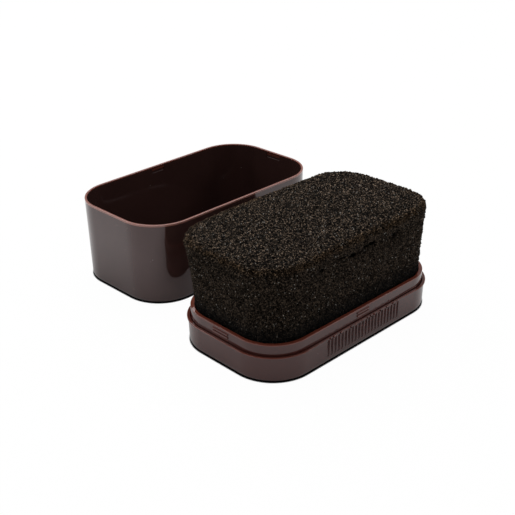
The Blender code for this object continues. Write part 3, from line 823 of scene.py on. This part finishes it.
def foam_block():
    """The smooth form of the foam: flared sides, soft edges and a flat top that dips at its -X end."""
    shape = bmesh.new()
    rings = []
    for inset, height, opening in foam_stops():
        grown = FOAM_FOOT_HALF + FOAM_FLARE * opening
        corner = FOAM_FOOT_CORNER + (FOAM_TOP_CORNER - FOAM_FOOT_CORNER) * opening
        ring = []
        for point, outward in wall_path(grown, corner, FOAM_LONG_POINTS, FOAM_SHORT_POINTS):
            place = point - outward * inset
            low_end = max(0.0, -place.x / FOAM_FOOT_HALF.x) ** 2 * opening
            place += FOAM_LEAN * opening + Vector((-FOAM_END_SWELL, 0.0)) * low_end
            ring.append(shape.verts.new((place.x, place.y, height - FOAM_END_DROP * low_end)))
        rings.append(ring)
    skin_rings(shape, rings)
    bmesh.ops.recalc_face_normals(shape, faces=shape.faces[:])
    return new_object("open_cell_foam", shape)


def crease_tear(place):
    """The irregular fold below the top edge on the long sides, from 0 on whole foam to 1 in a tear."""
    reach = max(0.0, 1.0 - (abs(place.x) / CREASE_REACH) ** 4)
    if reach == 0.0 or abs(place.y) < FOAM_FOOT_HALF.y - CREASE_SKIN:
        return 0.0
    wander = noise.noise(Vector((place.x / CREASE_WANDER_LENGTH, place.y, 0.0))) * CREASE_WANDER
    off = (place.z - (FOAM_TOP - CREASE_BELOW_TOP + wander)) / CREASE_HALF_WIDTH
    if abs(off) > 1.0:
        return 0.0
    patches = noise.noise(Vector((place.x / TEAR_LENGTH, place.y, place.z / TEAR_HEIGHT)))
    torn = TEAR_SHARE + TEAR_CONTRAST * patches
    return reach * max(0.0, min(1.0, torn)) * cos(off * pi / 2) ** 2


def painted_edge_glow(place):
    """The painted glow: highest on the edge between the foam's top and sides, where light comes through, and
    0 away from it.
    """
    half = FOAM_FOOT_HALF + FOAM_FLARE
    upright = place.xy - FOAM_LEAN
    past = Vector((abs(upright.x) - half.x + FOAM_TOP_CORNER, abs(upright.y) - half.y + FOAM_TOP_CORNER))
    outside = Vector((max(past.x, 0.0), max(past.y, 0.0))).length + min(max(past.x, past.y), 0.0)
    inward = FOAM_TOP_CORNER - outside
    below = FOAM_TOP - place.z
    from_edge = Vector((inward, below)).length / FOAM_GLOW_REACH
    patchy = FOAM_GLOW_PATCH_SHARE + FOAM_GLOW_PATCH_CONTRAST * noise.noise(place / FOAM_GLOW_PATCH)
    return max(0.0, min(FOAM_GLOW_MOST, (1.0 - from_edge) * FOAM_GLOW_GAIN * patchy))


def open_cell_tree(material):
    """Geometry nodes that cut open cells into a surface and note how deep each point lies."""
    tree = bpy.data.node_groups.new("open_cells", 'GeometryNodeTree')
    for name, kind in (("Geometry", 'NodeSocketGeometry'), ("Cell Size", 'NodeSocketFloat'),
                       ("Cell Depth", 'NodeSocketFloat'), ("Unevenness", 'NodeSocketFloat')):
        tree.interface.new_socket(name=name, in_out='INPUT', socket_type=kind)
    tree.interface.new_socket(name="Geometry", in_out='OUTPUT', socket_type='NodeSocketGeometry')
    start = add_node(tree, 'NodeGroupInput')
    place = add_node(tree, 'GeometryNodeInputPosition').outputs['Position']
    normal = add_node(tree, 'GeometryNodeInputNormal').outputs['Normal']
    scale = add_node(tree, 'ShaderNodeMath', {'operation': 'DIVIDE'}, {0: 1.0, 1: start.outputs['Cell Size']})
    bend = add_node(tree, 'ShaderNodeTexNoise', {'noise_dimensions': '3D'}, {
        'Vector': place, 'Scale': 1 / CELL_BEND_LENGTH, 'Detail': 1.0})
    bend_by = add_node(tree, 'ShaderNodeVectorMath', {'operation': 'SCALE'}, {
        0: bend.outputs['Color'], 'Scale': CELL_BEND})
    bent = add_node(tree, 'ShaderNodeVectorMath', {'operation': 'ADD'}, {
        0: place, 1: bend_by.outputs['Vector']})
    walls = add_node(tree, 'ShaderNodeTexVoronoi', {'feature': 'DISTANCE_TO_EDGE'}, {
        'Vector': bent.outputs['Vector'], 'Scale': scale.outputs['Value'], 'Randomness': CELL_RANDOMNESS})
    cells = add_node(tree, 'ShaderNodeTexVoronoi', {'feature': 'F1'}, {
        'Vector': bent.outputs['Vector'], 'Scale': scale.outputs['Value'], 'Randomness': CELL_RANDOMNESS})
    pit = add_node(tree, 'ShaderNodeMapRange', {'interpolation_type': 'SMOOTHSTEP'}, {
        'Value': walls.outputs['Distance'], 'From Min': 0.03, 'From Max': 0.26})
    chance = add_node(tree, 'ShaderNodeSeparateXYZ', None, {'Vector': cells.outputs['Color']})
    depth_share = add_node(tree, 'ShaderNodeMapRange', None, {
        'Value': chance.outputs['X'], 'To Min': 0.45, 'To Max': 1.15})
    dug = add_node(tree, 'ShaderNodeMath', {'operation': 'MULTIPLY'}, {
        0: pit.outputs['Result'], 1: depth_share.outputs['Result']})
    down = add_node(tree, 'ShaderNodeMath', {'operation': 'MULTIPLY'}, {
        0: dug.outputs['Value'], 1: start.outputs['Cell Depth']})
    ragged = add_node(tree, 'ShaderNodeTexNoise', {'noise_dimensions': '3D'}, {
        'Vector': place, 'Scale': 1 / RAGGED_LENGTH, 'Detail': 2.0})
    ragged_by = add_node(tree, 'ShaderNodeMapRange', None, {
        'Value': ragged.outputs['Fac'], 'From Min': 0.3, 'From Max': 0.7,
        'To Min': RAGGED_DEPTH, 'To Max': -RAGGED_DEPTH})
    swell = add_node(tree, 'ShaderNodeTexNoise', {'noise_dimensions': '3D'}, {
        'Vector': place, 'Scale': 1 / UNEVENNESS_LENGTH, 'Detail': 1.0})
    swell_off = add_node(tree, 'ShaderNodeMath', {'operation': 'SUBTRACT'}, {
        0: swell.outputs['Fac'], 1: 0.5})
    swell_by = add_node(tree, 'ShaderNodeMath', {'operation': 'MULTIPLY'}, {
        0: swell_off.outputs['Value'], 1: start.outputs['Unevenness']})
    cut = add_node(tree, 'ShaderNodeMath', {'operation': 'ADD'}, {
        0: down.outputs['Value'], 1: ragged_by.outputs['Result']})
    total = add_node(tree, 'ShaderNodeMath', {'operation': 'ADD'}, {
        0: cut.outputs['Value'], 1: swell_by.outputs['Value']})
    inward = add_node(tree, 'ShaderNodeMath', {'operation': 'MULTIPLY'}, {
        0: total.outputs['Value'], 1: -1.0})
    shift = add_node(tree, 'ShaderNodeVectorMath', {'operation': 'SCALE'}, {
        0: normal, 'Scale': inward.outputs['Value']})
    noted = add_node(tree, 'GeometryNodeStoreNamedAttribute', {'data_type': 'FLOAT', 'domain': 'POINT'}, {
        'Geometry': start.outputs['Geometry'], 'Name': "pit", 'Value': dug.outputs['Value']})
    moved = add_node(tree, 'GeometryNodeSetPosition', None, {
        'Geometry': noted.outputs['Geometry'], 'Offset': shift.outputs['Vector']})
    real = add_node(tree, 'GeometryNodeRealizeInstances', None, {'Geometry': moved.outputs['Geometry']})
    dressed = add_node(tree, 'GeometryNodeSetMaterial', None, {
        'Geometry': real.outputs['Geometry'], 'Material': material})
    end = add_node(tree, 'NodeGroupOutput')
    tree.links.new(dressed.outputs['Geometry'], end.inputs['Geometry'])
    return tree


def set_input(modifier, name, value):
    """Sets a named input of a geometry nodes modifier, by its socket's identifier."""
    for item in modifier.node_group.interface.items_tree:
        if item.item_type == 'SOCKET' and item.in_out == 'INPUT' and item.name == name:
            modifier[item.identifier] = value


def make_foam(material):
    """The foam block: remeshed evenly, folded, and then cut open cell by cell."""
    foam = foam_block()
    remesh = foam.modifiers.new("even_mesh", 'REMESH')
    remesh.mode = 'VOXEL'
    remesh.voxel_size = FOAM_VOXEL
    apply_modifiers(foam)
    tears = foam.data.attributes.new("tear", 'FLOAT', 'POINT')
    # The painted glow on the upper edges, noted at each point
    edges = foam.data.attributes.new("painted_glow", 'FLOAT', 'POINT')
    # How much a point faces up, for the painted light that makes the top lighter than the sides
    tops = foam.data.attributes.new("facing_up", 'FLOAT', 'POINT')
    normals = [normal.vector.copy() for normal in foam.data.vertex_normals]
    points = zip(foam.data.vertices, normals, tears.data, edges.data, tops.data)
    for vert, normal, tear, edge, top in points:
        tear.value = crease_tear(vert.co)
        edge.value = painted_edge_glow(vert.co)
        top.value = max(0.0, normal.z)
        vert.co -= normal * CREASE_DEPTH * tear.value
    nodes = foam.modifiers.new("open_cells", 'NODES')
    nodes.node_group = open_cell_tree(material)
    set_input(nodes, "Cell Size", CELL_SIZE)
    set_input(nodes, "Cell Depth", CELL_DEPTH)
    set_input(nodes, "Unevenness", UNEVENNESS)
    apply_modifiers(foam)
    foam.data.shade_smooth()
    finish_piece(foam, material, "base", "foam", "foam_sponge")


def make_pad(material):
    """The felt pad under the deck, with soft edges."""
    low, high = (Vector(corner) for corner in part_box("reservoir_pad"))
    half = Vector((high.x, high.y))
    corners = [
        Corner(PAD_FLAT_INSET, low.z),
        Corner(0.0, low.z, PAD_ROUND),
        Corner(0.0, high.z, PAD_ROUND),
        Corner(PAD_FLAT_INSET, high.z)]
    pad = loft("felt_pad", wall_path(half, TRAY_CORNER - FOAM_SET_BACK), rounded_profile(corners))
    finish_piece(pad, material, "base", "felt", "reservoir_pad")


def add_softbox(softbox):
    """A square area lamp, turned to what it lights."""
    light = bpy.data.lights.new(softbox.name, 'AREA')
    light.shape = 'RECTANGLE'
    light.size = softbox.side
    light.size_y = softbox.side
    light.energy = softbox.watts
    lamp = bpy.data.objects.new(softbox.name, light)
    lamp.location = softbox.place
    towards = Vector(softbox.aim) - Vector(softbox.place)
    lamp.rotation_euler = towards.to_track_quat('-Z', 'Y').to_euler()
    bpy.context.scene.collection.objects.link(lamp)


def make_studio():
    """A white sweep of paper under a wide soft light from above, as in a product photograph."""
    side = PAPER_HALF
    floor_mesh = bpy.data.meshes.new("paper_sweep")
    floor_mesh.from_pydata([(-side, -side, 0), (side, -side, 0), (side, side, 0), (-side, side, 0)], [],
                           [(0, 1, 2, 3)])
    floor = bpy.data.objects.new("paper_sweep", floor_mesh)
    bpy.context.scene.collection.objects.link(floor)
    floor.data.materials.append(white_paper())

    world = bpy.data.worlds.new("studio")
    bpy.context.scene.world = world
    world.use_nodes = True
    room = world.node_tree.nodes["Background"]
    room.inputs['Color'].default_value = WHITE
    room.inputs['Strength'].default_value = ROOM_LIGHT
    for softbox in SOFTBOXES:
        add_softbox(softbox)


def make_camera():
    """The photograph's camera, from its heading, elevation, roll and distance."""
    camera = bpy.data.cameras.new("photo_camera")
    camera.sensor_width = SENSOR_MM
    camera.lens = FOCAL_PX / IMAGE_SIDE_PX * SENSOR_MM
    camera.clip_start = NEAREST_SEEN
    eye = bpy.data.objects.new("photo_camera", camera)
    bpy.context.scene.collection.objects.link(eye)
    back = Vector((-sin(CAMERA_HEADING) * cos(CAMERA_ELEVATION), -cos(CAMERA_HEADING) * cos(CAMERA_ELEVATION),
                   sin(CAMERA_ELEVATION)))
    level = Vector((cos(CAMERA_HEADING), -sin(CAMERA_HEADING), 0.0))
    upright = back.cross(level)
    right = level * cos(CAMERA_ROLL) + upright * sin(CAMERA_ROLL)
    up = upright * cos(CAMERA_ROLL) - level * sin(CAMERA_ROLL)
    eye.matrix_world = Matrix((right, up, back)).transposed().to_4x4()
    eye.matrix_world.translation = CAMERA_AIM + back * CAMERA_DISTANCE
    bpy.context.scene.camera = eye


def main():
    """Builds the studio, every piece and its finish."""
    make_camera()
    make_studio()
    plastic = moulded_brown_styrene("moulded_brown_styrene", dark="3f201c", light="4a2722",
                                    shine=0.50, tint="fff7f8")
    # Painted reflection: the cap gets a darker, shinier copy of the same plastic, so that its walls mirror
    # brighter light than the base's
    lit_cap_plastic = moulded_brown_styrene("brown_styrene_lit_copy", dark="33221f", light="3c2825",
                                        shine=0.68, tint="ffeeef")
    make_base(plastic)
    make_tray(plastic)
    make_cap(lit_cap_plastic)
    make_foam(oiled_open_foam())
    make_pad(oiled_felt())
    glue_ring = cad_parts["glue_ring"]
    glue_ring.data.materials.clear()
    glue_ring.data.materials.append(hot_melt_glue())
    bpy.context.scene.view_settings.view_transform = 'Standard'


main()
bpy.context.view_layer.update()
